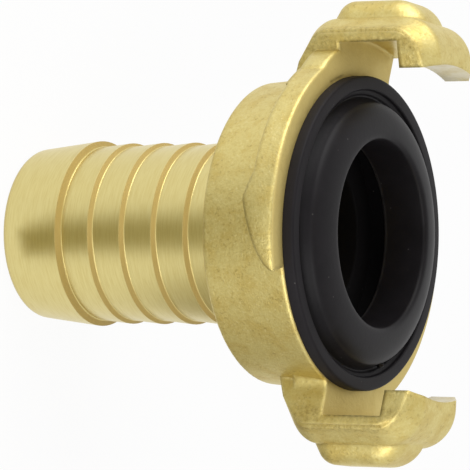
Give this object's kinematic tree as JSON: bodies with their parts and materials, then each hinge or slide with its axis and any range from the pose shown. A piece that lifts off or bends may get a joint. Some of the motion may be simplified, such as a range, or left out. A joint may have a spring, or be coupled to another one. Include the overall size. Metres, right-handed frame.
{
  "type": "claw coupling half with barbed hose tail",
  "caption": "Forged brass claw coupling half with two hooked claws, cam flanges, a barbed hose tail and a black rubber face seal; a quarter turn locks it to its like.",
  "frame": {"origin": "on the coupling's axis at the end of the hose tail, which the part stands on", "axes": "+Z along the coupling's axis from the hose tail to the claws; the two claws are centred on +X and -X"},
  "size_m": [0.058, 0.0444, 0.0584],
  "materials": {
    "forged_brass": "satin blasted forging with turned tail and faces",
    "seal_rubber": "satin moulded rubber"
  },
  "bodies": {
    "root": {"coupling_body": "forged_brass", "face_seal": "seal_rubber"}
  },
  "joints": []
}
